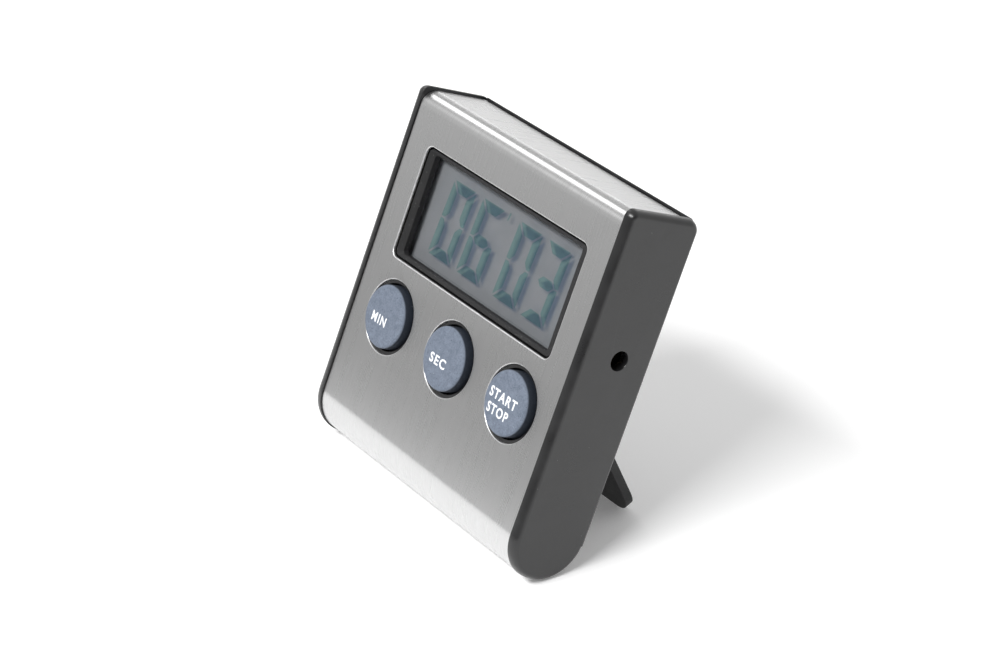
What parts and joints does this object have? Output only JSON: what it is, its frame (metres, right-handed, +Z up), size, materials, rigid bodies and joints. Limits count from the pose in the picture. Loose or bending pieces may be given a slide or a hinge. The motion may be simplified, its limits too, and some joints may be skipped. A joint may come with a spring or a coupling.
{
  "type": "digital lab timer",
  "caption": "Pocket digital timer with a brushed steel front, a display window, rubber press keys, a fold-out rear stand, round back magnets and a hinged battery lid.",
  "frame": {"origin": "centre of the bounding box's footprint, on the surface the timer stands on", "axes": "+Z up, +X to the right as the display is read, +Y away from the reader, towards the open stand"},
  "size_m": [0.065, 0.0362, 0.0663],
  "materials": {
    "black_plastic": "fine moulded satin texture",
    "brushed_steel": "brushed along the height",
    "polarizer_film": "grey film",
    "display_glass": "clear float glass",
    "reflector_film": "matt silver film",
    "connector_rubber": "soft layered strip",
    "white_plastic": "moulded",
    "board_laminate": "solder mask over glass laminate",
    "black_epoxy": "cast drop",
    "nickel_plate": "nickel plated",
    "ceramic_chip": "sintered ceramic",
    "grey_silicone": "moulded silicone",
    "key_rubber": "matt moulded silicone, lightly speckled",
    "carbon_rubber": "conducting carbon rubber",
    "brass_sheet": "rolled sheet",
    "piezo_ceramic": "silvered ceramic",
    "wire_insulation": "PVC insulation",
    "cell_sleeve": "shrink sleeve over a steel can",
    "spring_wire": "nickel plated spring wire",
    "ferrite": "ground ferrite",
    "screw_steel": "zinc plated"
  },
  "bodies": {
    "case": {"front_housing": "black_plastic", "steel_cover": "brushed_steel", "rear_cover": "black_plastic", "lcd_front_polarizer": "polarizer_film", "lcd_front_glass": "display_glass", "lcd_rear_glass": "display_glass", "lcd_reflector": "reflector_film", "zebra_strip": "connector_rubber", "lcd_holder": "white_plastic", "circuit_board": "board_laminate", "chip_blob": "black_epoxy", "crystal_can": "nickel_plate", "chip_capacitors": "ceramic_chip", "keypad_mat": "grey_silicone", "buzzer_plate": "brass_sheet", "buzzer_ceramic": "piezo_ceramic", "buzzer_wires": "wire_insulation", "battery_cell": "cell_sleeve", "battery_spring": "spring_wire", "battery_spring_plate": "nickel_plate", "battery_contact_plate": "nickel_plate", "magnet_left": "ferrite", "magnet_right": "ferrite", "case_screws": "screw_steel", "board_screws": "screw_steel"},
    "key_minutes": {"button_minutes": "key_rubber", "pill_minutes": "carbon_rubber"},
    "key_seconds": {"button_seconds": "key_rubber", "pill_seconds": "carbon_rubber"},
    "key_start_stop": {"button_start_stop": "key_rubber", "pill_start_stop": "carbon_rubber"},
    "stand": {"stand": "black_plastic"},
    "battery_lid": {"battery_cover": "black_plastic"}
  },
  "joints": [
    {"name": "press_minutes", "type": "slide", "parent": "case", "child": "key_minutes", "axis": [0, 0.9348, -0.3551], "range_m": [0, 0.001], "stiffness_N_per_m": 1200},
    {"name": "press_seconds", "type": "slide", "parent": "case", "child": "key_seconds", "axis": [0, 0.9348, -0.3551], "range_m": [0, 0.001], "stiffness_N_per_m": 1200},
    {"name": "press_start_stop", "type": "slide", "parent": "case", "child": "key_start_stop", "axis": [0, 0.9348, -0.3551], "range_m": [0, 0.001], "stiffness_N_per_m": 1200},
    {"name": "stand_hinge", "type": "hinge", "parent": "case", "child": "stand", "pos_m": [0, 0.00382, 0.02443], "axis": [1, 0, 0], "range_deg": [-46.88, 0]},
    {"name": "battery_lid_hinge", "type": "hinge", "parent": "case", "child": "battery_lid", "pos_m": [0, -0.00518, 0.00475], "axis": [-1, 0, 0], "range_deg": [0, 70]}
  ]
}
